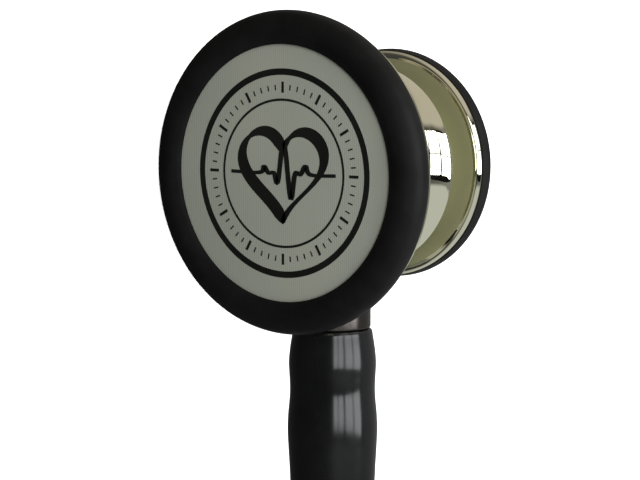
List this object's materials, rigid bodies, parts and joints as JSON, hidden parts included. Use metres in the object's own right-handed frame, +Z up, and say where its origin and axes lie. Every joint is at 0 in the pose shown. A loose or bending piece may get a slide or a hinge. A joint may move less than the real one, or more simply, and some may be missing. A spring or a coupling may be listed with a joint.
{
  "type": "stethoscope",
  "caption": "Acoustic stethoscope with a turning two-sided chestpiece, a moulded hose, and a sprung headset with bent ear tubes and soft ear tips.",
  "frame": {"origin": "on the table, below the middle of the chestpiece and headset together, the hose left out", "axes": "+Z up from the table; +X along the chestpiece's disc axis, from the large diaphragm to the small one; +Y from the hose towards the ear tips"},
  "size_m": [0.2276, 0.3101, 0.0475],
  "materials": {
    "polished_metal": "mirror polished, pale champagne tint",
    "soft_rim": "satin black, smooth moulded",
    "diaphragm_sheet": "satin grey-green sheet with a fine weave and a printed ring",
    "smoke_metal": "dark smoke coating, satin",
    "dot_enamel": "gloss enamel",
    "seal_rubber": "matte",
    "spring_steel": "bright spring steel",
    "hose_rubber": "smooth satin black",
    "ear_tube_metal": "dark smoke anodised, satin",
    "core_plastic": "moulded",
    "eartip_silicone": "soft matte silicone"
  },
  "bodies": {
    "hose_side": {"stem": "smoke_metal", "index_dot": "dot_enamel", "stem_o_ring": "seal_rubber", "stem_clip": "spring_steel", "tube_grip": "hose_rubber", "tubing": "hose_rubber", "yoke": "hose_rubber", "leaf_spring": "spring_steel"},
    "head": {"chestpiece_body": "polished_metal", "adult_rim": "soft_rim", "pediatric_rim": "soft_rim", "detent_ball": "spring_steel", "detent_spring": "spring_steel", "detent_plug": "spring_steel"},
    "large_diaphragm": {"adult_diaphragm": "diaphragm_sheet"},
    "small_diaphragm": {"pediatric_diaphragm": "diaphragm_sheet"},
    "left_arm": {"left_arm_sleeve": "hose_rubber", "left_ear_tube": "ear_tube_metal", "left_eartip_core": "core_plastic", "left_eartip": "eartip_silicone"},
    "right_arm": {"right_arm_sleeve": "hose_rubber", "right_ear_tube": "ear_tube_metal", "right_eartip_core": "core_plastic", "right_eartip": "eartip_silicone"}
  },
  "joints": [
    {"name": "head_turn", "type": "hinge", "parent": "hose_side", "child": "head", "pos_m": [0.0958, 0.0344, 0.02375], "axis": [0, -1, 0], "continuous": true},
    {"name": "large_diaphragm_press", "type": "slide", "parent": "head", "child": "large_diaphragm", "axis": [1, 0, 0], "range_m": [0, 0.00035], "stiffness_N_per_m": 2000},
    {"name": "small_diaphragm_press", "type": "slide", "parent": "head", "child": "small_diaphragm", "axis": [-1, 0, 0], "range_m": [0, 0.00035], "stiffness_N_per_m": 2000},
    {"name": "left_arm_spread", "type": "hinge", "parent": "hose_side", "child": "left_arm", "pos_m": [-0.0701, -0.0766, 0.0064], "axis": [0, 0, 1], "range_deg": [-3, 12], "stiffness_Nm_per_rad": 2.5, "deforming": ["leaf_spring"]},
    {"name": "right_arm_spread", "type": "hinge", "parent": "hose_side", "child": "right_arm", "pos_m": [-0.0511, -0.0766, 0.0064], "axis": [0, 0, -1], "range_deg": [-3, 12], "stiffness_Nm_per_rad": 2.5, "deforming": ["leaf_spring"]}
  ]
}
